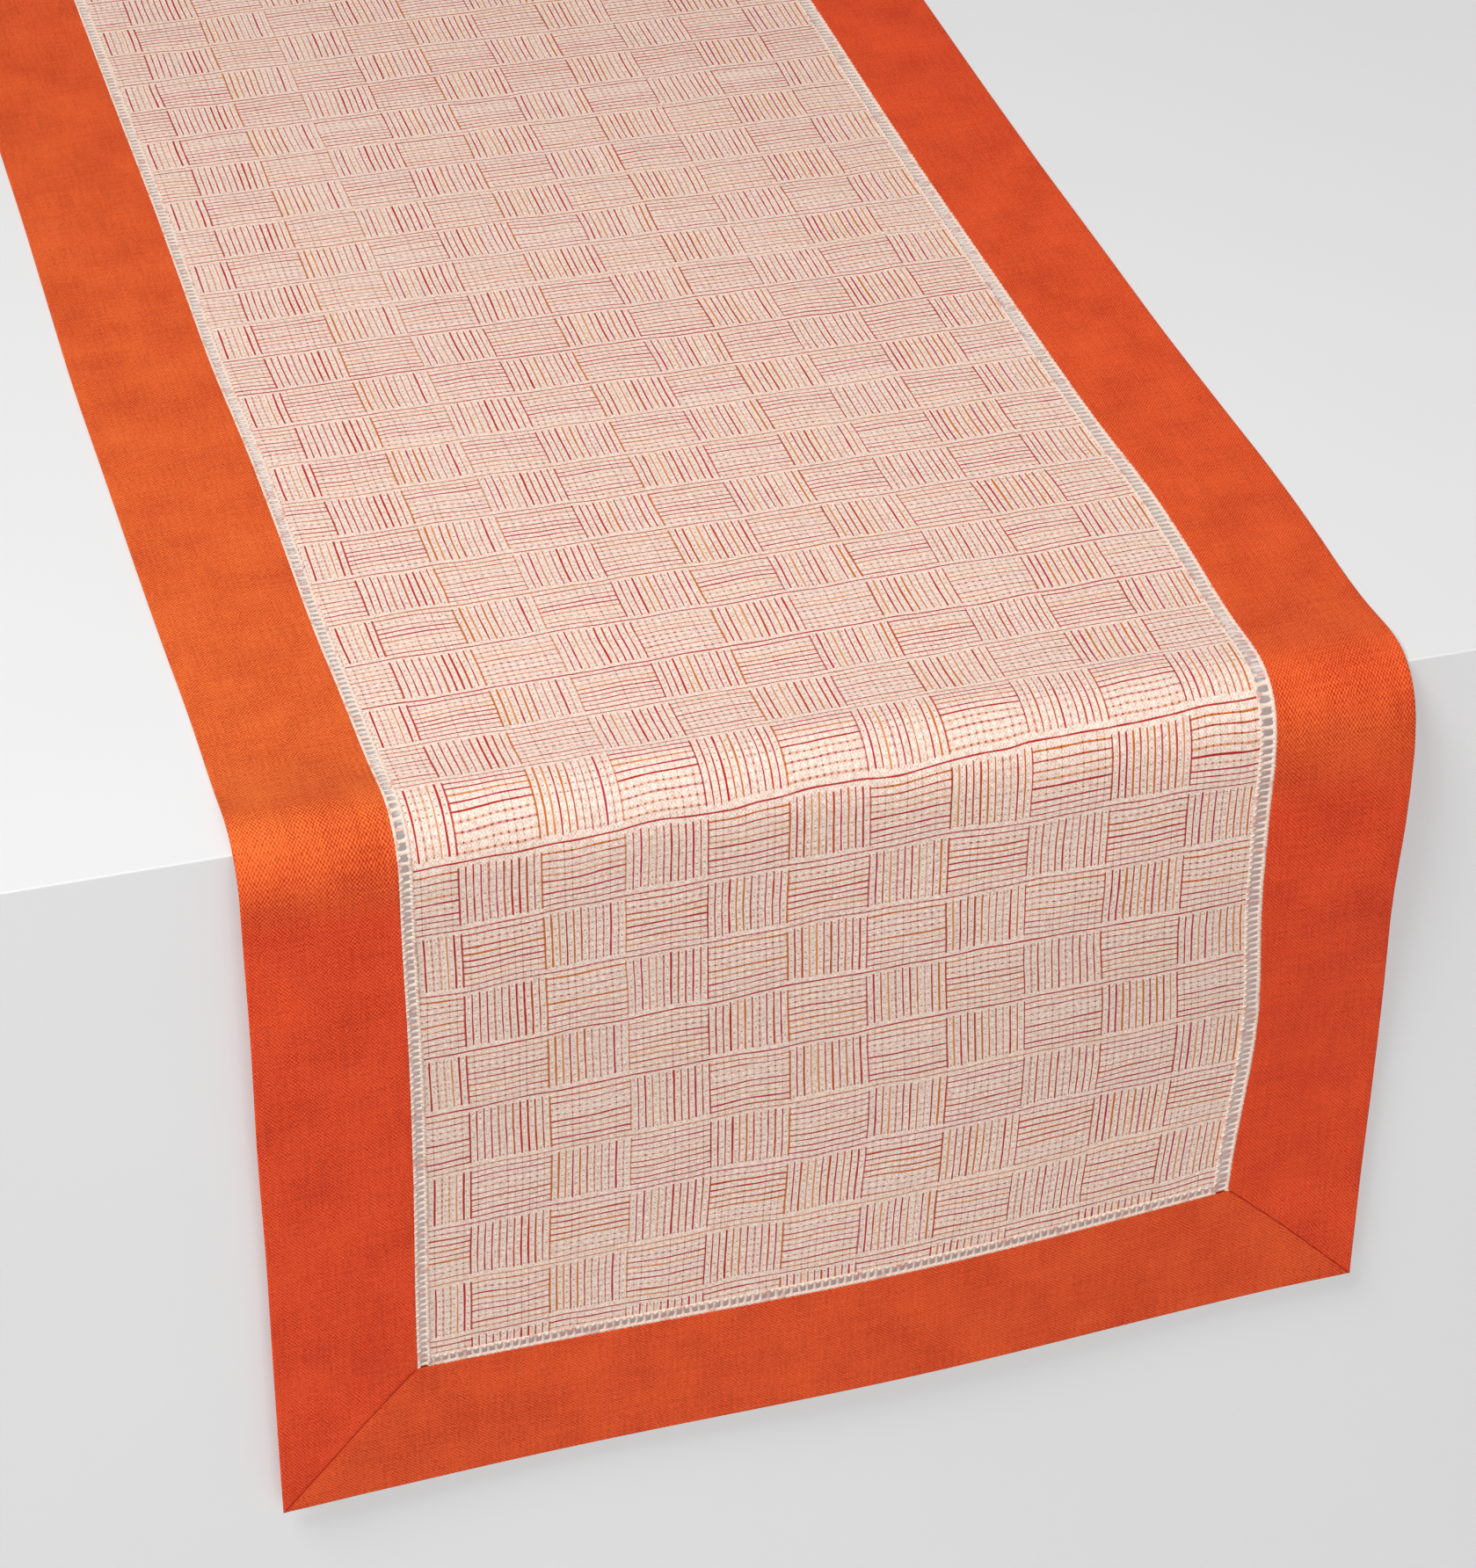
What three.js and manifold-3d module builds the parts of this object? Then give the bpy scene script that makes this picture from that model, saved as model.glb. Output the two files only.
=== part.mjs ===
// A bordered table runner, draped over a table: a woven panel, a ladder of openwork round it, and a
// mitred border of double cloth. The middle lies on the table top, and each end hangs over an edge.
// Millimetres. +Z up, +Y along the runner, the origin on the panel's underside at the runner's middle.
// The front end hangs at -Y. Cloth heights are measured from the side that faces the table.
import * as THREE from "three";
import { mergeVertices } from "three/addons/utils/BufferGeometryUtils.js";
import Module from "manifold-3d";

const wasm = await Module();
wasm.setup();

// The whole runner
const RUNNER_LENGTH = 1829; // hem to hem, along the cloth
const RUNNER_WIDTH = 406;
const DROP_HEIGHT = 283; // table top down to the hem
const BEND_RADIUS = 18; // table side of the cloth, where it turns over the table's edge

// The border, the ladder and the panel, across the runner
const BORDER_WIDTH = 51;
const LADDER_WIDTH = 4.6; // the part that shows, between the panel and the border
const TONGUE_DEPTH = 6; // the ladder's hidden edge, held between the border's two plies
const SEAM_WIDTH = 0.8; // the ridge of the corner's mitred seam

// Through the cloth
const BORDER_PLY = 0.4;
const LADDER_THICKNESS = 0.4;
const PLY_CLEARANCE = 0.1; // above and below the ladder's hidden edge
const SEAM_RISE = 0.3; // the mitred seam above the border's face

const EDGE_GAP = 0.3; // between pieces that are sewn edge to edge
const TONGUE_END_GAP = 0.5; // between the ladder's hidden edge and the end of its slot
const ARC_SEGMENTS = 4; // per eighth of a turn, doubled by the arc itself
const CUT_MARGIN = 5; // how far a cutting solid reaches past what it cuts

// Worked out from the sizes above
const SLOT_LOW = BORDER_PLY;
const SLOT_HIGH = SLOT_LOW + LADDER_THICKNESS + 2 * PLY_CLEARANCE;
const BORDER_HIGH = SLOT_HIGH + BORDER_PLY;
const LADDER_LOW = SLOT_LOW + PLY_CLEARANCE;
const LADDER_HIGH = LADDER_LOW + LADDER_THICKNESS;
const PANEL_HIGH = LADDER_HIGH;
const HALF_WIDTH = RUNNER_WIDTH / 2;
const BORDER_INNER = HALF_WIDTH - BORDER_WIDTH;
const LADDER_INNER = BORDER_INNER - LADDER_WIDTH;
const PANEL_HALF = LADDER_INNER - EDGE_GAP;
const STRAIGHT_DROP = DROP_HEIGHT - BEND_RADIUS;
const FLAT_HALF = (RUNNER_LENGTH - Math.PI * BEND_RADIUS) / 2 - STRAIGHT_DROP;
const HALF_GAP_ANGLE = EDGE_GAP / 2 / BEND_RADIUS;
const CUT_OVERRUN = 2 * HALF_GAP_ANGLE;
const QUARTER = Math.PI / 2;
const EIGHTH = Math.PI / 4;

const ORANGE_CLOTH = { color: 0xd8552a, roughness: 0.85, metalness: 0 };
const WOVEN_PANEL = { color: 0xe6d3c6, roughness: 0.9, metalness: 0 };
const CREAM_THREAD = { color: 0xefe3d3, roughness: 0.8, metalness: 0 };
const ORANGE_THREAD = { color: 0xc94c24, roughness: 0.8, metalness: 0 };

// A closed geometry as a manifold-3d solid, its shared vertices merged.
function solidOf(geometry) {
  const bare = new THREE.BufferGeometry();
  bare.setAttribute("position", geometry.getAttribute("position"));
  bare.setIndex(geometry.index);
  const merged = mergeVertices(bare);
  return new wasm.Manifold(
    new wasm.Mesh({
      numProp: 3,
      vertProperties: new Float32Array(merged.attributes.position.array),
      triVerts: new Uint32Array(merged.index.array),
    }),
  );
}

// A manifold-3d solid as a geometry to draw.
function geometryOf(solid) {
  const mesh = solid.getMesh();
  const geometry = new THREE.BufferGeometry();
  geometry.setAttribute("position", new THREE.BufferAttribute(mesh.vertProperties, 3));
  geometry.setIndex(new THREE.BufferAttribute(mesh.triVerts, 1));
  geometry.computeVertexNormals();
  return geometry;
}

// One geometry with another cut out of it.
function cut(geometry, cutter) {
  return geometryOf(solidOf(geometry).subtract(solidOf(cutter)));
}

// The side view of the stretch on the table, with the first half of the bend at both of its ends.
// The overrun, an angle, carries a cutting solid past the middle of the bend.
function topProfile(low, high, overrun = 0) {
  const outer = BEND_RADIUS + high;
  const inner = BEND_RADIUS + low;
  const end = EIGHTH + HALF_GAP_ANGLE - overrun;
  const shape = new THREE.Shape();
  shape.absarc(-FLAT_HALF, -BEND_RADIUS, outer, Math.PI - end, QUARTER, true);
  shape.absarc(FLAT_HALF, -BEND_RADIUS, outer, QUARTER, end, true);
  shape.absarc(FLAT_HALF, -BEND_RADIUS, inner, end, QUARTER, false);
  shape.absarc(-FLAT_HALF, -BEND_RADIUS, inner, QUARTER, Math.PI - end, false);
  return shape;
}

// The side view of a hanging end: the second half of the bend, then straight down to a given depth.
function dropProfile(low, high, depth, overrun = 0) {
  const outer = BEND_RADIUS + high;
  const inner = BEND_RADIUS + low;
  const start = EIGHTH - HALF_GAP_ANGLE + overrun;
  const shape = new THREE.Shape();
  shape.absarc(FLAT_HALF, -BEND_RADIUS, outer, start, 0, true);
  shape.lineTo(FLAT_HALF + outer, -depth);
  shape.lineTo(FLAT_HALF + inner, -depth);
  shape.absarc(FLAT_HALF, -BEND_RADIUS, inner, 0, start, false);
  return shape;
}

// A side view, drawn as (distance out from the middle, height), carried across from one x to another.
function across(profile, fromX, toX) {
  const geometry = new THREE.ExtrudeGeometry(profile, {
    depth: toX - fromX,
    bevelEnabled: false,
    curveSegments: ARC_SEGMENTS,
  });
  const outward = new THREE.Vector3(0, -1, 0);
  const up = new THREE.Vector3(0, 0, 1);
  const sideways = new THREE.Vector3(-1, 0, 0);
  const turn = new THREE.Matrix4().makeBasis(outward, up, sideways);
  return geometry.applyMatrix4(turn).translate(toX, 0, 0);
}

// A flat piece in the hanging end: its outline as (x, depth below the table top), between two cloth heights.
function hangingPlate(outline, low, high) {
  const shape = new THREE.Shape(outline.map(([x, depth]) => new THREE.Vector2(x, -depth)));
  const geometry = new THREE.ExtrudeGeometry(shape, { depth: high - low, bevelEnabled: false });
  return geometry.rotateX(QUARTER).translate(0, -(FLAT_HALF + BEND_RADIUS + low), 0);
}

// What lies past the mitre line of one lower corner, seen from a side strip, through the whole cloth.
function mitreCutter(side, gap) {
  const reach = BORDER_WIDTH + LADDER_WIDTH + CUT_MARGIN;
  const shift = gap * Math.SQRT2;
  const outline = [
    [side * (HALF_WIDTH + CUT_MARGIN), DROP_HEIGHT + CUT_MARGIN - shift],
    [side * (HALF_WIDTH - reach), DROP_HEIGHT - reach - shift],
    [side * (HALF_WIDTH - reach), DROP_HEIGHT + 2 * CUT_MARGIN],
    [side * (HALF_WIDTH + CUT_MARGIN), DROP_HEIGHT + 2 * CUT_MARGIN],
  ];
  return hangingPlate(outline, -CUT_MARGIN, BORDER_HIGH + CUT_MARGIN);
}

// A strip with mitred ends along the hem, from one depth to another, on the corner's 45-degree lines.
function mitredEnd(upperDepth, lowerDepth, gap, low, high) {
  const shift = gap * Math.SQRT2;
  const upperHalf = HALF_WIDTH - (DROP_HEIGHT - upperDepth) - shift;
  const lowerHalf = HALF_WIDTH - (DROP_HEIGHT - lowerDepth) - shift;
  const outline = [
    [-lowerHalf, lowerDepth],
    [lowerHalf, lowerDepth],
    [upperHalf, upperDepth],
    [-upperHalf, upperDepth],
  ];
  return hangingPlate(outline, low, high);
}

// The x range of something that lies between two distances from the runner's middle line.
function sideRange(side, near, far) {
  return side < 0 ? [-far, -near] : [near, far];
}

// A side strip of the border: two plies, folded at the outer edge and open towards the ladder.
function borderStrip(side, profileOf) {
  const strip = across(profileOf(0, BORDER_HIGH), ...sideRange(side, BORDER_INNER, HALF_WIDTH));
  const slotEnd = BORDER_INNER + TONGUE_DEPTH + TONGUE_END_GAP;
  const slotRange = sideRange(side, BORDER_INNER - CUT_MARGIN, slotEnd);
  return cut(strip, across(profileOf(SLOT_LOW, SLOT_HIGH, CUT_OVERRUN), ...slotRange));
}

// A side run of the ladder, from the panel's edge to its hidden edge in the border.
function ladderStrip(side, profileOf) {
  const range = sideRange(side, LADDER_INNER, BORDER_INNER + TONGUE_DEPTH);
  return across(profileOf(LADDER_LOW, LADDER_HIGH), ...range);
}

// The border along the hem, with its slot for the ladder.
function borderEnd() {
  const upper = DROP_HEIGHT - BORDER_WIDTH;
  const gap = SEAM_WIDTH / 2 + EDGE_GAP;
  const strip = mitredEnd(upper, DROP_HEIGHT, gap, 0, BORDER_HIGH);
  const slotDepth = upper + TONGUE_DEPTH + TONGUE_END_GAP;
  return cut(strip, mitredEnd(upper - CUT_MARGIN, slotDepth, -CUT_MARGIN, SLOT_LOW, SLOT_HIGH));
}

// The ladder along the hem's border.
function ladderEnd() {
  const upper = DROP_HEIGHT - BORDER_WIDTH - LADDER_WIDTH;
  const lower = DROP_HEIGHT - BORDER_WIDTH + TONGUE_DEPTH;
  return mitredEnd(upper, lower, EDGE_GAP / 2, LADDER_LOW, LADDER_HIGH);
}

// The ridge of one corner's mitred seam, lying in the gap between the two border strips.
function mitreSeam(side) {
  const half = SEAM_WIDTH / Math.SQRT2;
  const inset = EDGE_GAP + half;
  const outline = [
    [side * (BORDER_INNER + inset), DROP_HEIGHT - BORDER_WIDTH + inset - half],
    [side * (BORDER_INNER + inset), DROP_HEIGHT - BORDER_WIDTH + inset + half],
    [side * (HALF_WIDTH - inset), DROP_HEIGHT - inset + half],
    [side * (HALF_WIDTH - inset), DROP_HEIGHT - inset - half],
  ];
  return hangingPlate(outline, SLOT_HIGH, BORDER_HIGH + SEAM_RISE);
}

function piece(name, geometry, material) {
  const mesh = new THREE.Mesh(geometry, new THREE.MeshStandardMaterial(material));
  mesh.name = name;
  return mesh;
}

// Everything that lies on the table.
function topRun() {
  const run = new THREE.Group();
  run.add(piece("panel_top", across(topProfile(0, PANEL_HIGH), -PANEL_HALF, PANEL_HALF), WOVEN_PANEL));
  for (const [sideName, side] of [["left", -1], ["right", 1]]) {
    run.add(piece(`border_${sideName}_top`, borderStrip(side, topProfile), ORANGE_CLOTH));
    run.add(piece(`ladder_${sideName}_top`, ladderStrip(side, topProfile), CREAM_THREAD));
  }
  return run;
}

// One hanging end, built at the front. The rear one is the same, turned round, so its sides swap.
function drop(endName, sides) {
  const hanging = new THREE.Group();
  const toHem = (low, high, overrun) => dropProfile(low, high, DROP_HEIGHT, overrun);
  const panelDepth = DROP_HEIGHT - BORDER_WIDTH - LADDER_WIDTH - EDGE_GAP;
  const panel = across(dropProfile(0, PANEL_HIGH, panelDepth), -PANEL_HALF, PANEL_HALF);
  hanging.add(piece(`panel_${endName}_drop`, panel, WOVEN_PANEL));
  for (const [sideName, side] of sides) {
    const border = cut(borderStrip(side, toHem), mitreCutter(side, SEAM_WIDTH / 2 + EDGE_GAP));
    const ladder = cut(ladderStrip(side, toHem), mitreCutter(side, EDGE_GAP / 2));
    hanging.add(piece(`border_${sideName}_${endName}`, border, ORANGE_CLOTH));
    hanging.add(piece(`ladder_${sideName}_${endName}`, ladder, CREAM_THREAD));
    hanging.add(piece(`mitre_seam_${endName}_${sideName}`, mitreSeam(side), ORANGE_THREAD));
  }
  hanging.add(piece(`border_${endName}_end`, borderEnd(), ORANGE_CLOTH));
  hanging.add(piece(`ladder_${endName}_end`, ladderEnd(), CREAM_THREAD));
  return hanging;
}

const group = new THREE.Group();
const frontDrop = drop("front", [["left", -1], ["right", 1]]);
const rearDrop = drop("rear", [["right", -1], ["left", 1]]);
rearDrop.rotation.z = Math.PI;
group.add(topRun(), frontDrop, rearDrop);

export default group;
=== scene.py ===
import math

import bpy
import numpy as np
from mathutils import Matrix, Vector


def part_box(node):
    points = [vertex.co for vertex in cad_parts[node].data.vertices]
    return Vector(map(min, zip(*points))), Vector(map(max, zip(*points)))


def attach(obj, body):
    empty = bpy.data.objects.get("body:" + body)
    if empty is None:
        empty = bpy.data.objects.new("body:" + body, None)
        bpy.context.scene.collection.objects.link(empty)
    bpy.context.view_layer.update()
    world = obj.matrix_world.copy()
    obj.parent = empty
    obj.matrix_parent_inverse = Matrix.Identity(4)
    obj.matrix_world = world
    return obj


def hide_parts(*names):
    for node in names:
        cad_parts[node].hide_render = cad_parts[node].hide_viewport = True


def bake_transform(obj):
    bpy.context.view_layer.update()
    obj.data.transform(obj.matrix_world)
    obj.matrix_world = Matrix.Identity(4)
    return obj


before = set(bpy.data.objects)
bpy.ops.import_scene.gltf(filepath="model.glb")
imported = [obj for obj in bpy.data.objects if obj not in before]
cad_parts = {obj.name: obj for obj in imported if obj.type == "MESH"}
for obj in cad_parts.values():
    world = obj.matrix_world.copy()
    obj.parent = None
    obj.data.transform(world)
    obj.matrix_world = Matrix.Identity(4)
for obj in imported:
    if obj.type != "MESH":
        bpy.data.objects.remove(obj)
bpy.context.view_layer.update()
MM = 0.001

# --- The woven panel ------------------------------------------------------------------------------------
# One rectangle of cream linen-cotton, woven in a check: in every other block the coloured warps float, in
# the rest the coloured wefts do.  It lies flat over the table, turns down over both edges and hangs.
hem_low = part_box("border_front_end")[0]
RUNNER_HALF_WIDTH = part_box("border_right_top")[1].x
BORDER_WIDTH = 51 * MM
BORDER_THICKNESS = 1.4 * MM
CORNER_RADIUS = 18 * MM
FLAT_HALF = -hem_low.y - BORDER_THICKNESS - CORNER_RADIUS
HANGING = -hem_low.z - CORNER_RADIUS
RUNNER_HALF_LENGTH = FLAT_HALF + CORNER_RADIUS * math.pi / 2 + HANGING
INNER_X = RUNNER_HALF_WIDTH - BORDER_WIDTH
INNER_END = RUNNER_HALF_LENGTH - BORDER_WIDTH
LADDER_LEFT, LADDER_RIGHT, LADDER_END = 4.1 * MM, 5.3 * MM, 4.4 * MM
PANEL_LEFT = -INNER_X + LADDER_LEFT
PANEL_RIGHT = INNER_X - LADDER_RIGHT
PANEL_END = INNER_END - LADDER_END
PANEL_HEIGHT = 0.8 * MM

# The line the cloth follows over a table edge: its slope turns smoothly from flat to upright.
TURN_LENGTH = 36 * MM
line_t = np.linspace(-60 * MM, 400 * MM, 4601)
turn_share = np.clip(line_t / TURN_LENGTH, 0, 1)
line_slope = math.pi / 2 * turn_share * turn_share * (3 - 2 * turn_share)
line_step = line_t[1] - line_t[0]
middle_slope = (line_slope[1:] + line_slope[:-1]) / 2
line_out = line_t[0] + np.concatenate([[0], np.cumsum(np.cos(middle_slope))]) * line_step
line_down = np.concatenate([[0], np.cumsum(np.sin(middle_slope))]) * line_step
TURN_START = FLAT_HALF + CORNER_RADIUS - line_out[-1]
# Slack lies in slight ripples over the table, and the weave hangs a little off its grain.  The cloth
# springs up a little where it starts to turn.
HEM_DROP = 3.5 * MM
SLACK = np.interp(RUNNER_HALF_LENGTH - TURN_START, line_t, line_down) + hem_low.z + HEM_DROP
OFF_GRAIN = 0.033
TURN_SPRING = 3.4 * MM
# How far the border's four edges lie to the right of straight (mm), at stations along the runner (m):
# outer left, inner left, inner right and outer right.
EDGES = (-0.203, -0.152, 0.152, 0.203)
DRIFT = np.array([
    (0.00, 0.8, 2.0, 1.0, -3.3), (0.12, 1.5, 1.6, 0.8, -3.6), (0.20, 0.9, 1.6, -0.2, -4.4),
    (0.27, -0.3, 0.7, -0.6, -4.8), (0.33, -1.3, -0.2, -0.2, -4.1), (0.40, -1.0, 0.9, 0.5, -3.2),
    (0.46, -1.0, 0.5, 1.6, -1.4), (0.51, -0.6, -0.2, 4.4, 0.2), (0.55, 0.2, 0.6, 4.0, 0.2),
    (0.59, -0.1, 0.7, 2.4, -0.8), (0.63, -1.1, 0.4, 1.3, -0.7), (0.67, -1.0, 0.2, -0.9, -0.4),
    (0.70, -0.8, 0.6, -1.5, -0.8), (0.73, -1.2, 0.9, -1.0, -2.7), (0.76, -1.3, 0.7, 2.6, -1.1),
    (0.79, -0.7, 0.4, 4.1, 0.3), (0.82, -1.0, -0.6, 1.4, 0.3), (0.86, -1.3, -1.2, -2.4, -0.8),
    (0.92, -1.5, -1.5, -2.0, -1.6)])

# The end strips pull the lower corners up a little.
RISE_PLACES = (0.79, 0.835, 0.857, 0.866, 0.914)
RISE = (0, 2.4 * MM, 2.8 * MM, 4.2 * MM, 1.0 * MM)


def ease(value, start, end):
    """0 before start, 1 after end and smooth between them."""
    share = np.clip((value - start) / (end - start), 0, 1)
    return share * share * (3 - 2 * share)


def stand_off(x, t, front):
    """How far the cloth stands off the table: slack over the top, fullness below the edge."""
    flat = 1 - ease(t, TURN_START - 20 * MM, TURN_START + 20 * MM)
    top = 0.5 * MM * (1 + np.sin(x * 21 + t * 9 + 0.6)) * (0.5 + 0.5 * np.sin(t * 17 + x * 5 + 1.9))
    below = t - TURN_START
    full = ease(below, 5 * MM, 45 * MM) * (1 - ease(below, 70 * MM, 190 * MM))
    side = np.where(front, x, -x) / RUNNER_HALF_WIDTH
    belly = (3 + 5 * ease(side, -0.2, 1)) * MM * full
    wave = 1.2 * MM * np.sin(x * 24 + 0.8) * ease(below, 40 * MM, 240 * MM)
    spread = np.where(below < 14 * MM, 26 * MM, 18 * MM)
    over_edge = TURN_SPRING * (1 + 0.4 * ease(-side, 0.2, 1)) * np.exp(-((below - 14 * MM) / spread) ** 2)
    return top * flat + belly + wave + over_edge + 1.2 * MM * ease(below, 0, 60 * MM)


def drift(x, t, front):
    """How far a place has moved sideways; past the middle of the runner the far half runs straight."""
    moved = 0
    for step in (-14 * MM, 0, 14 * MM):
        at = np.where(front, np.maximum(t + step, 0), 0)
        edges = [np.interp(at, DRIFT[:, 0], DRIFT[:, n]) for n in range(1, 5)]
        share = np.interp(x, EDGES, (0, 1, 2, 3))
        for n in range(4):
            moved = moved + edges[n] * np.maximum(1 - np.abs(share - n), 0) * MM / 3
    return moved * np.where(front, 1, 1 - ease(t, 0, 0.3))


def lie(across, along, height):
    """Where a place on the flat runner comes to lie, in metres, with its height over the table side."""
    x, s, h = (np.asarray(v, float) for v in np.broadcast_arrays(across, along, height))
    way = np.where(s < 0, -1.0, 1.0)
    x_flat, t = x, np.abs(s)
    x = x + drift(x, t, s < 0)
    t = t - SLACK * ease(t, 0.56, 0.72) + OFF_GRAIN * x_flat * way * ease(t, 0.3, 0.7)
    t = t - np.interp(np.abs(s), RISE_PLACES, RISE) * np.minimum((x_flat / INNER_X) ** 2, 1.3)
    down = t - TURN_START
    slope = np.interp(down, line_t, line_slope)
    lift = h + stand_off(x, t, s < 0)
    flat_part = np.minimum(down - line_t[0], 0)
    out = TURN_START + flat_part + np.interp(down, line_t, line_out) + np.sin(slope) * lift
    up = -np.interp(down, line_t, line_down) + np.cos(slope) * lift
    return np.stack([x, way * out, up], axis=-1)


def rows_along(end):
    """Stations along half the runner, close together where the cloth turns."""
    return np.concatenate([
        np.linspace(0, 0.56, 113)[:-1],
        np.linspace(0.56, 0.70, 71)[:-1],
        np.linspace(0.70, end, 54),
    ])


def cloth(name, flat, faces):
    """A mesh from places on the flat runner (across, along, height), with those kept as its Flat map."""
    mesh = bpy.data.meshes.new(name)
    points = lie(flat[:, 0], flat[:, 1], flat[:, 2])
    mesh.from_pydata(points.tolist(), [], faces)
    corner = np.zeros(len(mesh.loops), np.int32)
    mesh.loops.foreach_get("vertex_index", corner)
    layer = mesh.uv_layers.new(name="Flat")
    layer.data.foreach_set("uv", flat[corner, :2].astype(np.float32).ravel())
    mesh.polygons.foreach_set("use_smooth", np.ones(len(mesh.polygons), bool))
    mesh.update()
    piece = bpy.data.objects.new(name, mesh)
    bpy.context.scene.collection.objects.link(piece)
    return piece


def grid_faces(rows, columns, flip):
    """Quads of a grid of rows by columns, turned over where flip is true."""
    i, j = np.meshgrid(np.arange(rows - 1), np.arange(columns - 1), indexing="ij")
    a = i * columns + j
    quads = np.stack([a, a + 1, a + columns + 1, a + columns], axis=-1).reshape(-1, 4)
    return (quads[:, ::-1] if flip else quads).tolist()


def linear(code):
    """A hex colour as linear red, green, blue and 1."""
    parts = [int(code[i:i + 2], 16) / 255 for i in (0, 2, 4)]
    return [c / 12.92 if c <= 0.04045 else ((c + 0.055) / 1.055) ** 2.4 for c in parts] + [1]


class Wire:
    """A node's output; arithmetic on it adds Math nodes."""

    def __init__(self, dye, socket):
        self.dye, self.socket = dye, socket

    def math(self, operation, *others, clamp=False):
        return self.dye.node("ShaderNodeMath", {"operation": operation, "use_clamp": clamp}, {
            n: v for n, v in enumerate([self, *others])})

    def __add__(self, other):
        return self.math("ADD", other)

    def __mul__(self, other):
        return self.math("MULTIPLY", other)

    def __sub__(self, other):
        return self.math("SUBTRACT", other)

    def __rsub__(self, other):
        return self.dye.node("ShaderNodeMath", {"operation": "SUBTRACT"}, {0: other, 1: self})

    def __truediv__(self, other):
        return self.math("DIVIDE", other)

    def __gt__(self, other):
        return self.math("GREATER_THAN", other)

    def __lt__(self, other):
        return self.math("LESS_THAN", other)

    __radd__ = __add__
    __rmul__ = __mul__

    def clamp(self):
        return self.math("ADD", 0.0, clamp=True)


class Dye:
    """A material being made up."""

    def __init__(self, name):
        self.material = bpy.data.materials.new(name)
        self.material.use_nodes = True
        self.tree = self.material.node_tree
        self.tree.nodes.clear()

    def node(self, kind, settings, inputs, output=0):
        made = self.tree.nodes.new(kind)
        for key, value in settings.items():
            if key == "stops":
                ramp = made.color_ramp
                while len(ramp.elements) < len(value):
                    ramp.elements.new(1)
                for element, (place, colour) in zip(ramp.elements, value):
                    element.position = place
                for element, (place, colour) in zip(ramp.elements, value):
                    element.color = colour
            elif key == "steps":
                made.color_ramp.interpolation = value
            else:
                setattr(made, key, value)
        for key, value in inputs.items():
            if isinstance(value, Wire):
                self.tree.links.new(value.socket, made.inputs[key])
            else:
                made.inputs[key].default_value = value
        return Wire(self, made.outputs[output]) if made.outputs else None

    def flat(self):
        """Places on the flat runner in mm: across it, and along it from the middle to the front."""
        place = self.node("ShaderNodeUVMap", {"uv_map": "Flat"}, {})
        split = self.tree.nodes.new("ShaderNodeSeparateXYZ")
        self.tree.links.new(place.socket, split.inputs[0])
        return Wire(self, split.outputs[0]) * 1000, Wire(self, split.outputs[1]) * -1000

    def point(self, x, y, z=0.0):
        return self.node("ShaderNodeCombineXYZ", {}, {0: x, 1: y, 2: z})

    def noise(self, x, y, z=0.0, detail=1.0, rough=0.5):
        """Smooth noise from 0 to 1 at a place."""
        return self.node("ShaderNodeTexNoise", {"noise_dimensions": "3D"}, {
            "Vector": self.point(x, y, z), "Scale": 1.0, "Detail": detail, "Roughness": rough})

    def draw(self, number, salt=0.0):
        """A number from 0 to 1 drawn for each whole number."""
        return self.node("ShaderNodeTexWhiteNoise", {"noise_dimensions": "2D"}, {
            "Vector": self.point(number + 0.5, salt)}, "Value")

    def pick(self, share, stops, steps="LINEAR"):
        """A colour from a ramp."""
        return self.node("ShaderNodeValToRGB", {"steps": steps, "stops": stops}, {0: share})

    def mix(self, share, low, high, blend="MIX"):
        return self.node("ShaderNodeMix", {"data_type": "RGBA", "blend_type": blend}, {
            0: share, 6: low, 7: high}, 2)

    def finish(self, colour, roughness, height, relief, sheen, sheen_tint):
        """The cloth shader, with its relief (m) as bump."""
        normal = self.node("ShaderNodeBump", {}, {"Height": height, "Distance": relief, "Strength": 1.0})
        shader = self.node("ShaderNodeBsdfPrincipled", {}, {
            "Base Color": colour, "Roughness": roughness, "Normal": normal, "Sheen Weight": sheen,
            "Sheen Roughness": 0.4, "Sheen Tint": sheen_tint, "Specular IOR Level": 0.25})
        self.node("ShaderNodeOutputMaterial", {}, {"Surface": shader})
        return self.material


# The check, in millimetres: a block's size, where one block starts, and the yarns in it.
BLOCK_WIDTH = 28.16
BLOCK_HEIGHT = 26.17
FIRST_BLOCK = -132.0
FIRST_ROW = 616.4
WARPS_PER_BLOCK = 11
WEFTS_PER_BLOCK = 10
WARP_PITCH = BLOCK_WIDTH / WARPS_PER_BLOCK
WEFT_PITCH = BLOCK_HEIGHT / WEFTS_PER_BLOCK
GROUND_PITCH = 0.64
YARN_BLUR = 0.08

CREAM = linear("FFEDDF")
CREAM_SHADE = linear("CEA290")
RED = linear("B8221A")
ORANGE = linear("CC6A1C")
BRICK = linear("BC4414")
ROSE = linear("BC2A40")
PEACH = linear("DC8A50")
WINE = linear("7A2A2C")
LILAC = linear("88625C")

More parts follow.
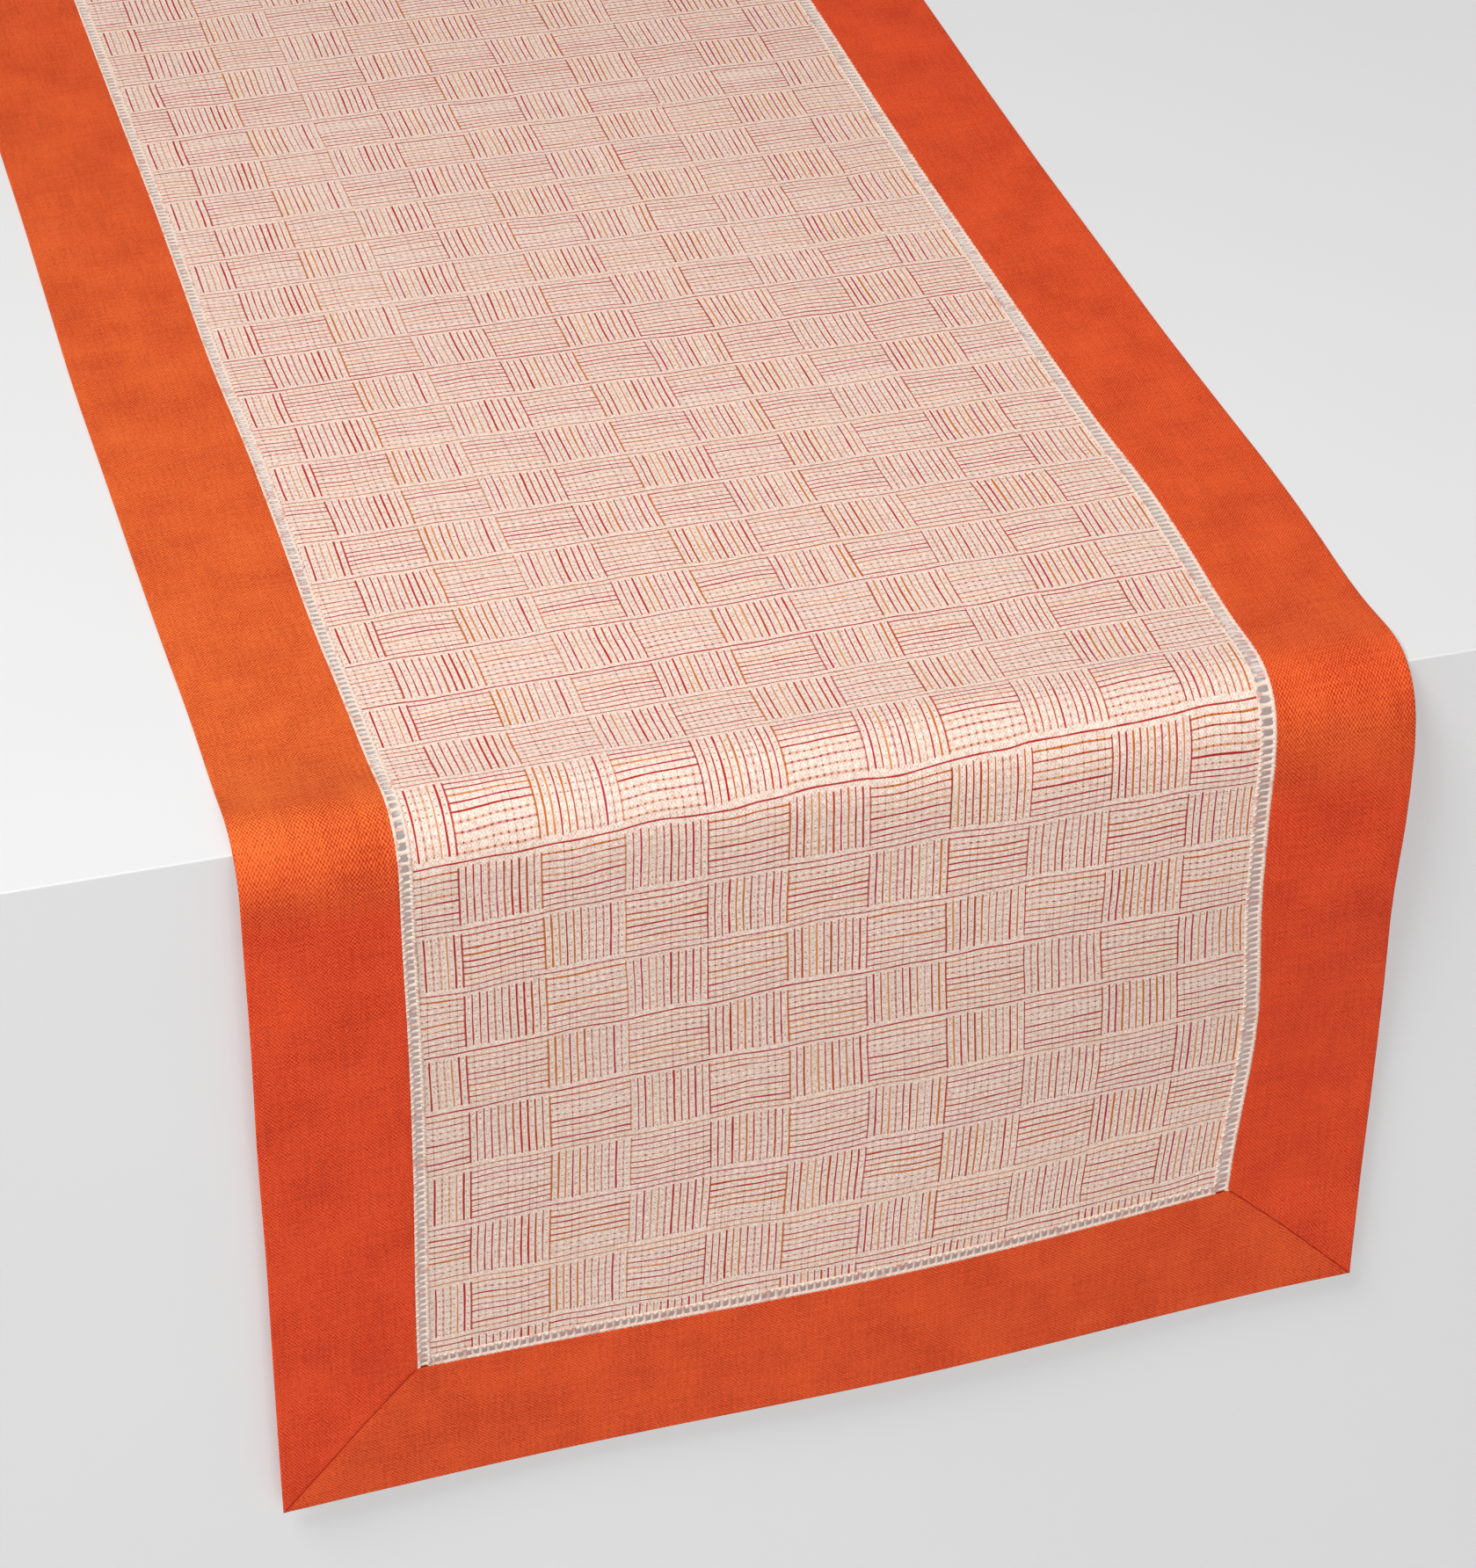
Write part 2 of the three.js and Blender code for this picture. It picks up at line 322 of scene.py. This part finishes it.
dye = Dye("woven_check")
across, along = dye.flat()
bow = (dye.noise(across / 27, along / 27, 3.1) - 0.5) * 3.4
sway = (dye.noise(across / 30, along / 30, 9.4) - 0.5) * 1.5
warp_place = (across - FIRST_BLOCK + sway) / WARP_PITCH
weft_place = (along - FIRST_ROW + bow) / WEFT_PITCH
column = (warp_place / WARPS_PER_BLOCK).math("FLOOR")
row = (weft_place / WEFTS_PER_BLOCK).math("FLOOR")
upright = (column + row).math("FLOORED_MODULO", 2)
level = 1 - upright
warp = warp_place.math("ROUND")
weft = weft_place.math("ROUND")
from_warp = (warp_place - warp).math("ABSOLUTE") * WARP_PITCH
from_weft = (weft_place - weft).math("ABSOLUTE") * WEFT_PITCH
# The upright floats end short of the wefts that bound their block.
in_row = weft_place - row * WEFTS_PER_BLOCK + (dye.draw(warp, 4.4) - 0.5) * 0.3
float_span = ((in_row - 0.55) / 0.12).clamp() * ((WEFTS_PER_BLOCK - 0.75 - in_row) / 0.12).clamp()
# Each yarn is spun unevenly: slubs make it thicker and darker here and there.
warp_slub = dye.noise(warp * 7.3, along / 7, 1.0, 2.0)
weft_slub = dye.noise(across / 8, weft * 5.9, 2.0, 2.0)
warp_half = 0.03 + 0.36 * warp_slub + 0.15 * dye.draw(warp, 8.8)
weft_half = 0.03 + 0.34 * weft_slub + 0.15 * dye.draw(weft, 3.9)
warp_line = ((warp_half - from_warp) / (2 * YARN_BLUR) + 0.5).clamp()
weft_line = ((weft_half - from_weft) / (2 * YARN_BLUR) + 0.5).clamp()
at_column = (column * WARPS_PER_BLOCK - warp).math("ABSOLUTE") < 0.5
at_column_end = (column * WARPS_PER_BLOCK + WARPS_PER_BLOCK - warp).math("ABSOLUTE") < 0.5
at_row = (row * WEFTS_PER_BLOCK - weft).math("ABSOLUTE") < 0.5
at_row_end = (row * WEFTS_PER_BLOCK + WEFTS_PER_BLOCK - weft).math("ABSOLUTE") < 0.5
edge_warp = (at_column + at_column_end).clamp()
edge_weft = (at_row + at_row_end).clamp()
yarns = [(0.0, RED), (0.28, ORANGE), (0.52, BRICK), (0.72, ROSE), (0.86, PEACH), (0.94, RED)]
warp_colour = dye.pick(dye.draw(warp, 1.7), yarns, "CONSTANT")
weft_colour = dye.pick(dye.draw(weft, 5.3), yarns, "CONSTANT")
warp_depth = dye.draw(warp, 2.2)
weft_depth = dye.draw(weft, 6.1)
# The fainter yarns show as rows of dashes.
warp_dash = 0.5 + 0.5 * (weft_place * (2 * math.pi)).math("COSINE")
weft_dash = 0.5 + 0.5 * (warp_place * (2 * math.pi)).math("COSINE")
warp_strong = ((warp_depth - 0.06) / 0.22).clamp()
weft_strong = ((weft_depth - 0.12) / 0.22).clamp()
warp_strength = (0.25 + 0.75 * warp_strong + 0.55 * warp_dash * (1 - warp_strong)).clamp()
weft_strength = (0.18 + 0.82 * weft_strong + 0.6 * weft_dash * (1 - weft_strong)).clamp()
# The cream ground is a plain weave of its own, a little darker between its threads.
ground_warp = (across * (math.pi / GROUND_PITCH)).math("SINE")
ground_weft = (along * (math.pi / GROUND_PITCH)).math("SINE")
ground = 0.5 + 0.5 * (ground_warp * ground_weft)
mottle = dye.noise(across / 2.2, along / 2.2, 6.0, 3.0)
grain = (dye.noise(across / 1.7, along * 2.2, 12.0) + dye.noise(across * 2.2, along / 1.7, 15.0)) * 0.5
cream = dye.mix((0.7 * mottle + 0.45 * ground + 2.4 * grain - 1.4).clamp(), CREAM, CREAM_SHADE)
# Yarns that pass under: rows of small dots between the floats, and a dot at each crossing.
between = (warp_place - warp_place.math("FLOOR") - 0.5).math("ABSOLUTE") * WARP_PITCH
weft_dot = ((0.42 - between) / 0.2).clamp() * ((0.34 - from_weft) / 0.2).clamp()
warp_dot = ((0.34 - from_warp) / 0.2).clamp() * ((0.36 - from_weft) / 0.2).clamp()
warp_under = ((0.26 - from_warp) / 0.15).clamp()
weft_under = ((0.26 - from_weft) / 0.15).clamp()
shown = dye.mix(upright * weft_under * 0.10, cream, weft_colour)
shown = dye.mix(upright * weft_dot * (0.22 + 0.5 * (weft_depth > 0.45)), shown, LILAC)
shown = dye.mix(level * warp_under * (0.12 + 0.26 * warp_depth), shown, warp_colour)
shown = dye.mix(upright * float_span * warp_line * warp_strength, shown, warp_colour)
shown = dye.mix(level * weft_line * weft_strength, shown, weft_colour)
shown = dye.mix(level * float_span * edge_warp * warp_line * 0.8, shown, warp_colour)
shown = dye.mix(edge_weft * weft_line * (0.55 + 0.4 * weft_strength), shown, weft_colour)
shown = dye.mix(level * warp_dot * (0.4 + 0.55 * (warp_depth > 0.45)), shown, WINE)
raised = (upright * float_span * warp_line + level * weft_line + edge_weft * weft_line).clamp()
sunk = upright * weft_dot + level * warp_dot
relief = raised * 0.5 + ground * 0.4 - 0.3 * sunk + grain * 0.8
woven_check = dye.finish(shown, 0.9, relief, 0.22 * MM, 0.15, linear("FFF4EA"))


PUCKER = 0.22 * MM


def panel_half(name, way):
    """Half the panel, from the middle of the runner to one end, puckered a little by its blocks."""
    x = np.linspace(PANEL_LEFT, PANEL_RIGHT, 114)
    t = rows_along(PANEL_END)
    t = np.unique(np.concatenate([t, (t[1:] + t[:-1]) / 2]))
    grid_x, grid_t = np.meshgrid(x, t)
    s = way * grid_t
    column = (grid_x / MM - FIRST_BLOCK) / BLOCK_WIDTH
    row = (-s / MM - FIRST_ROW) / BLOCK_HEIGHT
    sign = np.where((np.floor(column) + np.floor(row)) % 2 < 0.5, 1, -1)
    swell = np.abs(np.sin(math.pi * column) * np.sin(math.pi * row)) ** 0.8
    h = PANEL_HEIGHT + PUCKER * sign * swell
    flat = np.stack([grid_x, s, h], axis=-1).reshape(-1, 3)
    return cloth(name, flat, grid_faces(len(t), len(x), way < 0))


panels = {}
for end, way in (("front", -1), ("rear", 1)):
    panel = panel_half(f"woven_panel_{end}", way)
    panel.data.materials.append(woven_check)
    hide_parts(f"panel_{end}_drop", "panel_top")
    panels[end] = panel

for end, way in (("front", -1), ("rear", 1)):
    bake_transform(panels[end])

# --- The ladder -----------------------------------------------------------------------------------------
# Drawn-thread hemstitching round the panel: the lengthwise threads are pulled out and the rest are whipped
# together with cream thread into bars, 2.85 mm apart.  Its outer edge is held between the border's plies.
HOLE_PITCH = 2.85 * MM
LADDER_HEIGHT = 0.75 * MM
THREAD_FLATNESS = 0.6
RAIL_IN = -0.55 * MM
RAIL_OUT = {"left": -4.35 * MM, "right": -5.5 * MM, "end": -4.65 * MM}
RAIL_IN_HALF, RAIL_OUT_HALF = 0.75 * MM, 0.6 * MM
STITCH_SLANT = 0.9 * MM
STITCH_RADIUS = 0.3 * MM
TONGUE = 4 * MM
TONGUE_HEIGHT = 0.7 * MM

dye = Dye("cream_thread")
across, along = dye.flat()
ply = dye.noise(across * 1.9, along * 1.9, 2.0, 2.0)
hole = HOLE_PITCH / MM
fleck_draw = dye.node("ShaderNodeTexWhiteNoise", {"noise_dimensions": "2D"}, {
    "Vector": dye.point((across / hole).math("FLOOR"), (along / hole).math("FLOOR"))}, "Value")
fleck = dye.pick(fleck_draw, [(0.0, RED), (0.05, ORANGE), (0.09, ROSE), (0.13, CREAM)], "CONSTANT")
thread_colour = dye.mix(ply, linear("FFEADC"), linear("E6C8B6"))
thread_colour = dye.mix((fleck_draw < 0.13) * 0.6 * ply, thread_colour, fleck)
twist = ((across + along) * 9.0).math("SINE")
cream_thread = dye.finish(thread_colour, 0.85, twist, 0.05 * MM, 0.2, linear("FFF4EA"))


def tube(path, radius, sides):
    """Vertices and quads of tubes along paths of flat places, (count, stations, 3)."""
    count, stations = path.shape[:2]
    ahead = np.gradient(path, axis=1)
    ahead /= np.linalg.norm(ahead, axis=2, keepdims=True)
    lifted = np.zeros_like(path)
    lifted[..., 2] = 1
    wide = np.cross(ahead, lifted)
    wide /= np.maximum(np.linalg.norm(wide, axis=2, keepdims=True), 1e-9)
    tall = np.cross(wide, ahead)
    angle = np.arange(sides) / sides * 2 * math.pi
    ring = (wide[:, :, None] * np.cos(angle)[None, None, :, None]
            + tall[:, :, None] * np.sin(angle)[None, None, :, None])
    size = np.broadcast_to(radius, (count, stations))
    points = path[:, :, None] + ring * size[:, :, None, None]
    base = (np.arange(count) * stations * sides)[:, None, None]
    i = (np.arange(stations - 1) * sides)[None, :, None]
    j = np.arange(sides)[None, None, :]
    following = (j + 1) % sides
    quads = np.stack([base + i + j, base + i + sides + j, base + i + sides + following,
                      base + i + following], axis=-1).reshape(-1, 4)
    return points.reshape(-1, 3), quads


def ladder_run(name, edge, start, stop, rail_out):
    """A run of ladder.  edge(q, p) gives the flat place q out from the border's inner edge, p along it."""
    count = int(round((stop - start) / HOLE_PITCH))
    middle = start + (np.arange(count) + 0.5) * (stop - start) / count
    rng = np.random.default_rng(len(name) * 31 + count)
    points, faces, first = [], [], 0

    def add(new_points, new_faces):
        nonlocal first
        points.append(new_points)
        faces.extend((np.asarray(new_faces) + first).tolist())
        first += len(new_points)

    # Bars of bundled threads, thin in the middle and spread at both rails.
    share = np.linspace(0, 1, 8)
    q = RAIL_IN + (rail_out - RAIL_IN) * share
    lean = rng.normal(0, 0.16 * MM, count)
    p = middle[:, None] + lean[:, None] * (share - 0.5)[None] * 2
    h = LADDER_HEIGHT + rng.normal(0, 0.05 * MM, (count, 1)) + 0 * p
    radius = (0.52 + 0.5 * np.abs(2 * share - 1) ** 2.2)[None] * MM * rng.uniform(0.8, 1.25, (count, 1))
    path = np.stack([*edge(q[None] + 0 * p, p), h], axis=-1)
    bar_points, bar_faces = tube(path, np.minimum(radius, 1.05 * MM), 8)
    bar_points[:, 2] = LADDER_HEIGHT + (bar_points[:, 2] - LADDER_HEIGHT) * THREAD_FLATNESS
    add(bar_points, bar_faces)
    # Rails: the rolled edges that the bars run into.
    for centre, half in ((RAIL_IN, RAIL_IN_HALF), (rail_out, RAIL_OUT_HALF)):
        stations = len(np.arange(start, stop + 0.4 * HOLE_PITCH, HOLE_PITCH / 3))
        p = np.linspace(start, stop, stations)
        q = centre + rng.normal(0, 0.03 * MM, stations)
        path = np.stack([*edge(q, p), np.full(stations, LADDER_HEIGHT + 0.05 * MM)], axis=-1)[None]
        rail_points, rail_faces = tube(path, half, 8)
        rail_points[:, 2] = LADDER_HEIGHT + (rail_points[:, 2] - LADDER_HEIGHT) * THREAD_FLATNESS
        add(rail_points, rail_faces)
    # Whip stitches that slant over each rail.
    for centre, half, slant in ((RAIL_IN, 0.72 * MM, STITCH_SLANT), (rail_out, 0.62 * MM, -STITCH_SLANT)):
        share = np.linspace(-1, 1, 5)
        at = middle + HOLE_PITCH / 2 + rng.normal(0, 0.12 * MM, count)
        at = np.minimum(at, stop - 0.3 * MM)
        p = at[:, None] + slant * share[None] / 2
        q = centre + half * share[None] + 0 * p
        h = LADDER_HEIGHT + 0.50 * MM * (1 - share[None] ** 2) + 0 * p
        path = np.stack([*edge(q, p), h], axis=-1)
        add(*tube(path, STITCH_RADIUS * rng.uniform(0.8, 1.3, (count, 1)), 6))
    # The tongue between the border's plies.
    p = np.linspace(start, stop, max(8, int((stop - start) / (3 * MM))))
    q = np.array([RAIL_IN, -0.2 * MM, TONGUE])
    grid_q, grid_p = np.meshgrid(q, p)
    flat = np.stack([*edge(grid_q, grid_p), np.full(grid_p.shape, TONGUE_HEIGHT)], axis=-1).reshape(-1, 3)
    add(flat, grid_faces(len(p), len(q), False))
    return cloth(name, np.concatenate(points), faces)


for end, way in (("front", -1), ("rear", 1)):
    for side, hand in (("left", -1), ("right", 1)):
        ladder = ladder_run(f"ladder_{side}_{end}_run",
                            lambda q, p, hand=hand, way=way: (hand * (INNER_X + q), way * p),
                            0, INNER_END - 0.2 * MM, RAIL_OUT[side])
        ladder.data.materials.append(cream_thread)
        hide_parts(f"ladder_{side}_{end}", f"ladder_{side}_top")
        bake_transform(ladder)
    ladder = ladder_run(f"ladder_{end}_end_run", lambda q, p, way=way: (p, way * (INNER_END + q)),
                        PANEL_LEFT + 0.4 * MM, PANEL_RIGHT - 0.4 * MM, RAIL_OUT["end"])
    ladder.data.materials.append(cream_thread)
    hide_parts(f"ladder_{end}_end")
    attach(ladder, f"{end}_drop")

# --- The border -----------------------------------------------------------------------------------------
# Strips of plain orange linen, each cut double width, turned in at both raw edges and folded down the
# middle over the ladder's edge.  Their ends are mitred and seamed to each other.
INK_ORANGE = linear("FB5729")
INK_DEEP = linear("B81D05")
INK_LIGHT = linear("FF7D46")
# Painted light: over the table the colour is made yellower than on the drops, most of all at the left and
# towards the turn, in place of the light falling there; the end strips take a fixed share of it.
PAINTED_LIGHT_TINT = (0.92, 1.8, 1.3, 1)
END_STRIP_PAINTED_LIGHT = 0.3
THREAD_WIDE = 0.62
THREAD_LONG = 0.745


def orange_dye(name, turned):
    """Plain-woven orange linen; turned is true where the strip runs across the runner."""
    dye = Dye(name)
    across, along = dye.flat()
    wide, long = (along, across) if turned else (across, along)
    wander_w = (dye.noise(wide / 5, long / 14, 1.0, 2.0) - 0.5) * 1.8
    wander_l = (dye.noise(wide / 14, long / 5, 5.0, 2.0) - 0.5) * 1.8
    warp_wave = ((wide + wander_w) * (math.pi / THREAD_WIDE)).math("SINE")
    weft_wave = ((long + wander_l) * (math.pi / THREAD_LONG)).math("SINE")
    over = 0.5 + 0.5 * (warp_wave * weft_wave)
    slub_long = dye.noise(wide * 1.5, long / 22, 2.0, 2.0)
    slub_wide = dye.noise(wide / 22, long * 1.3, 4.0, 2.0)
    dark = ((slub_long - 0.58) * 6).clamp() * 0.6 + ((slub_wide - 0.58) * 6).clamp() * 0.8
    pale = ((0.40 - slub_long) * 6).clamp() * 0.5 + ((0.40 - slub_wide) * 6).clamp() * 0.5
    cloud = dye.noise(wide / 26, long / 26, 8.0, 3.0)
    fleck = dye.noise(wide * 0.9, long * 0.8, 3.0, 1.0)
    uneven = (0.9 * (fleck - 0.5) + 0.8 * (cloud - 0.5)
              + 0.9 * (slub_long - 0.5) + 0.9 * (slub_wide - 0.5))
    linen = dye.mix((0.08 + over + uneven).clamp(), INK_DEEP, INK_ORANGE)
    linen = dye.mix(((over - 0.7) * 3).clamp() * 0.3, linen, INK_LIGHT)
    linen = dye.mix((dark * 0.4).clamp(), linen, INK_DEEP)
    linen = dye.mix((pale * 0.3).clamp(), linen, INK_LIGHT)
    # Painted light: a yellow tint multiplied in where the strip lies over the table, stronger to the left
    # and towards the turn, and a fixed share of it on the end strips.
    out = along.math("ABSOLUTE")
    painted_light_strength = (0.16 - across * 0.0014 + out * 0.0009).clamp()
    painted_light_share = END_STRIP_PAINTED_LIGHT if turned else ((672 + across * 0.087 - out) / 30).clamp() * painted_light_strength
    linen = dye.mix(painted_light_share, linen, PAINTED_LIGHT_TINT, "MULTIPLY")
    relief = over * 0.8 + pale * 0.1 - dark * 0.15 + 0.2 * fleck
    return dye.finish(linen, 0.85, relief, 0.26 * MM, 0.25, linear("FFB070"))


orange_linen = orange_dye("orange_linen", False)
orange_linen_turned = orange_dye("orange_linen_turned", True)

FOLD_RADIUS = 0.6 * MM
TURN_IN_RADIUS = 0.15 * MM
CROWN = 0.12 * MM


def turned_in(height):
    """The small round of a raw edge turned in, its middle at a height."""
    angles = [math.pi * (1.5 - k / 4) for k in range(5)]
    return [(TURN_IN_RADIUS + TURN_IN_RADIUS * math.cos(angle), height + TURN_IN_RADIUS * math.sin(angle))
            for angle in angles]


def border_section():
    """(distance out from the inner edge, height) round a folded strip, from the upper turned-in edge."""
    upper, lower = 1.3 * MM, 0.1 * MM
    tuck = 0.3 * MM
    out = [(4.5 * MM, upper - tuck), (1.5 * MM, upper - tuck)]
    out += turned_in(upper - TURN_IN_RADIUS)
    for q in (1.2, 3.5, 7, 11, 16, 21, 26, 31, 36, 41, 45, 48):
        out.append((q * MM, upper + CROWN * math.sin(math.pi * q / 51)))
    for k in range(9):
        angle = math.pi * (0.5 - k / 8)
        out.append((BORDER_WIDTH - FOLD_RADIUS + FOLD_RADIUS * math.cos(angle),
                    0.7 * MM + FOLD_RADIUS * math.sin(angle)))
    for q in (47, 41, 34, 27, 20, 13, 7, 3, 1):
        out.append((q * MM, lower))
    out += turned_in(lower + TURN_IN_RADIUS)
    out += [(1.5 * MM, lower + tuck), (4.5 * MM, lower + tuck)]
    return np.array(out)


section = border_section()
SEAM_DIP = 0.25 * MM


def dipped(q, h, to_seam):
    """Heights of a strip drawn down into its mitre seam."""
    pull = SEAM_DIP * np.exp(-(to_seam / (0.9 * MM)) ** 2)
    return h + np.where(h > 0.7 * MM, -pull, pull) * ease(q, -1 * MM, 1 * MM)


MITRE_ROWS = 24
SQUARE_END = 0.84


def side_strip(name, hand, way):
    """Half a side strip: square rows to SQUARE_END, then rows that slant over to the mitre."""
    q, h = section.T
    t = rows_along(SQUARE_END)
    grid_t = np.repeat(t[:, None], len(q), axis=1)
    share = (np.arange(1, MITRE_ROWS + 1) / MITRE_ROWS) ** 0.9
    mitre = grid_t[-1][None] + (INNER_END + q[None] - grid_t[-1][None]) * share[:, None]
    grid_t = np.concatenate([grid_t, mitre])
    grid_q = np.repeat(q[None], len(grid_t), axis=0)
    grid_h = dipped(grid_q, np.repeat(h[None], len(grid_t), axis=0), INNER_END + grid_q - grid_t)
    flat = np.stack([hand * (INNER_X + grid_q), way * grid_t, grid_h], axis=-1).reshape(-1, 3)
    return cloth(name, flat, grid_faces(len(grid_t), len(q), hand * way < 0))


def end_strip(name, way):
    """An end strip, its rows fanned out from mitre to mitre."""
    q, h = section.T
    core = np.linspace(-1, 1, 121)
    grid_share = np.repeat(core[:, None], len(q), axis=1)
    grid_q = np.repeat(q[None], len(core), axis=0)
    grid_x = grid_share * (INNER_X + grid_q)
    grid_h = dipped(grid_q, np.repeat(h[None], len(core), axis=0), INNER_X + grid_q - np.abs(grid_x))
    flat = np.stack([grid_x, way * (INNER_END + grid_q), grid_h], axis=-1).reshape(-1, 3)
    return cloth(name, flat, grid_faces(len(core), len(q), way > 0))


for end, way in (("front", -1), ("rear", 1)):
    for side, hand in (("left", -1), ("right", 1)):
        strip = side_strip(f"border_{side}_{end}_strip", hand, way)
        strip.data.materials.append(orange_linen)
        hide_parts(f"border_{side}_{end}", f"border_{side}_top")
        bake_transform(strip)
    strip = end_strip(f"border_{end}_end_strip", way)
    strip.data.materials.append(orange_linen_turned)
    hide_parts(f"border_{end}_end")
    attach(strip, f"{end}_drop")

# --- The mitre seams ------------------------------------------------------------------------------------
# A fine slip-stitched seam from the ladder's corner to the border's corner, on both faces, sewn with
# orange thread.
dye = Dye("orange_thread")
across, along = dye.flat()
ply = dye.noise(across * 2.3, along * 2.3, 1.0, 2.0)
SEAM_SHADE = linear("A41B06")
seam_colour = dye.mix(ply, SEAM_SHADE, INK_DEEP)
orange_thread = dye.finish(seam_colour, 0.8, ((across - along) * 6.0).math("SINE"), 0.05 * MM, 0.1,
                           linear("FF9A5A"))


SEAM_HEIGHTS = (1.18 * MM, 0.22 * MM)
SEAM_RADIUS = 0.2 * MM
STITCH_LENGTH = 1.6 * MM


def mitre_seam(name, hand, way):
    """The thread along a mitre, on the upper face and on the lower one."""
    q = np.linspace(0.4 * MM, BORDER_WIDTH - 1.0 * MM, 90)
    points, faces = [], []
    for n, h in enumerate(SEAM_HEIGHTS):
        beat = 0.03 * MM * np.sin(q * 2 * math.pi / STITCH_LENGTH)
        path = np.stack([hand * (INNER_X + q), way * (INNER_END + q), h + beat], axis=-1)[None]
        new_points, new_faces = tube(path, SEAM_RADIUS, 8)
        points.append(new_points)
        faces += (new_faces + n * len(new_points)).tolist()
    return cloth(name, np.concatenate(points), faces)


for end, way in (("front", -1), ("rear", 1)):
    for side, hand in (("left", -1), ("right", 1)):
        seam = mitre_seam(f"mitre_{end}_{side}_stitching", hand, way)
        seam.data.materials.append(orange_thread)
        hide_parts(f"mitre_seam_{end}_{side}")
        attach(seam, f"{end}_drop")

# --- The table and the floor ----------------------------------------------------------------------------
# A plain pale block under the runner, its edges just eased, on a plain pale floor.  The block gives off a
# little light, in place of what comes through the cloth, so that the ladder's holes aren't black.
TABLE_FACE = 0.6352
TABLE_EDGE = 0.6 * MM
TABLE_TOP = -0.3 * MM
TABLE_GLOW = 0.23
TABLE_HALF_WIDTH = 0.62
FLOOR_LEVEL = -0.62
FLOOR_HALF = 12


def table_block():
    """The block, drawn from its outline seen from the side."""
    angle = np.linspace(0, math.pi / 2, 7)
    y = TABLE_FACE - TABLE_EDGE + TABLE_EDGE * np.sin(angle)
    z = TABLE_TOP - TABLE_EDGE + TABLE_EDGE * np.cos(angle)
    half = np.stack([np.append(y, TABLE_FACE), np.append(z, FLOOR_LEVEL)], axis=-1)
    ring = np.concatenate([half[::-1] * (-1, 1), half])
    points = [(x, *place) for x in (-TABLE_HALF_WIDTH, TABLE_HALF_WIDTH) for place in ring.tolist()]
    n = len(ring)
    faces = grid_faces(2, n, True) + [list(range(n)), list(range(n, 2 * n))[::-1]]
    mesh = bpy.data.meshes.new("tabletop")
    mesh.from_pydata(points, [], faces)
    mesh.update()
    block = bpy.data.objects.new("tabletop", mesh)
    bpy.context.scene.collection.objects.link(block)
    return block


def plain(name, code, roughness, glow=0.0):
    """A plain pale finish, very slightly mottled."""
    dye = Dye(name)
    place = dye.node("ShaderNodeTexCoord", {}, {}, "Object")
    grain = dye.node("ShaderNodeTexNoise", {}, {"Vector": place, "Scale": 6.0, "Detail": 2.0})
    tint = dye.mix(grain * 0.06, linear(code), linear("FFFFFF"))
    shader = dye.node("ShaderNodeBsdfPrincipled", {}, {
        "Base Color": tint, "Roughness": roughness,
        "Emission Color": (1, 1, 1, 1), "Emission Strength": glow})
    dye.node("ShaderNodeOutputMaterial", {}, {"Surface": shader})
    return dye.material


block = table_block()
block.data.materials.append(plain("pale_table", "C2C2C2", 0.7, TABLE_GLOW))
floor_mesh = bpy.data.meshes.new("floor")
floor_corners = [(x * FLOOR_HALF, y * FLOOR_HALF, FLOOR_LEVEL)
                 for x, y in ((-1, -1), (1, -1), (1, 1), (-1, 1))]
floor_mesh.from_pydata(floor_corners, [], [(0, 1, 2, 3)])
floor = bpy.data.objects.new("floor", floor_mesh)
bpy.context.scene.collection.objects.link(floor)
floor.data.materials.append(plain("pale_floor", "E2E2E2", 0.8))

# --- Light and camera -----------------------------------------------------------------------------------
# A soft key from the front left, a broad low fill from the front and a soft light overhead, in a pale room;
# the camera looks down on the front drop from its left.
world = bpy.data.worlds.new("studio")
world.use_nodes = True
background = world.node_tree.nodes["Background"].inputs
background["Color"].default_value = (1.0, 1.0, 1.0, 1)
background["Strength"].default_value = 0.14
bpy.context.scene.world = world
bpy.context.scene.view_settings.view_transform = "Standard"


LIGHT_AIM = Vector((0, -0.45, -0.1))


def soft_light(name, place, size, power):
    """A round lamp that faces the front turn, its size in metres and its power in watts."""
    light = bpy.data.lights.new(name, "AREA")
    light.shape = "DISK"
    light.size = size
    light.energy = power
    lamp = bpy.data.objects.new(name, light)
    lamp.location = place
    lamp.rotation_mode = "QUATERNION"
    lamp.rotation_quaternion = (LIGHT_AIM - Vector(place)).to_track_quat("-Z", "Y")
    bpy.context.scene.collection.objects.link(lamp)


soft_light("key", (-1.15, -1.35, 2.1), 1.1, 62)
soft_light("fill", (0.1, -3.4, 0.5), 2.4, 22)
soft_light("overhead", (0.1, -0.5, 2.4), 1.6, 9)

CAMERA_PLACE = Vector((-0.3882, -1.8678, 0.9043))
CAMERA_AZIMUTH = math.radians(-16.015)
CAMERA_ELEVATION = math.radians(35.350)
camera = bpy.data.objects.new("camera", bpy.data.cameras.new("camera"))
camera.data.sensor_width = 36
camera.data.lens = 109.19
camera.data.clip_start = 0.05
camera.location = CAMERA_PLACE
camera.rotation_mode = "QUATERNION"
toward = -Vector((math.sin(CAMERA_AZIMUTH) * math.cos(CAMERA_ELEVATION),
                  -math.cos(CAMERA_AZIMUTH) * math.cos(CAMERA_ELEVATION),
                  math.sin(CAMERA_ELEVATION)))
camera.rotation_quaternion = toward.to_track_quat("-Z", "Y")
bpy.context.scene.collection.objects.link(camera)
bpy.context.scene.camera = camera
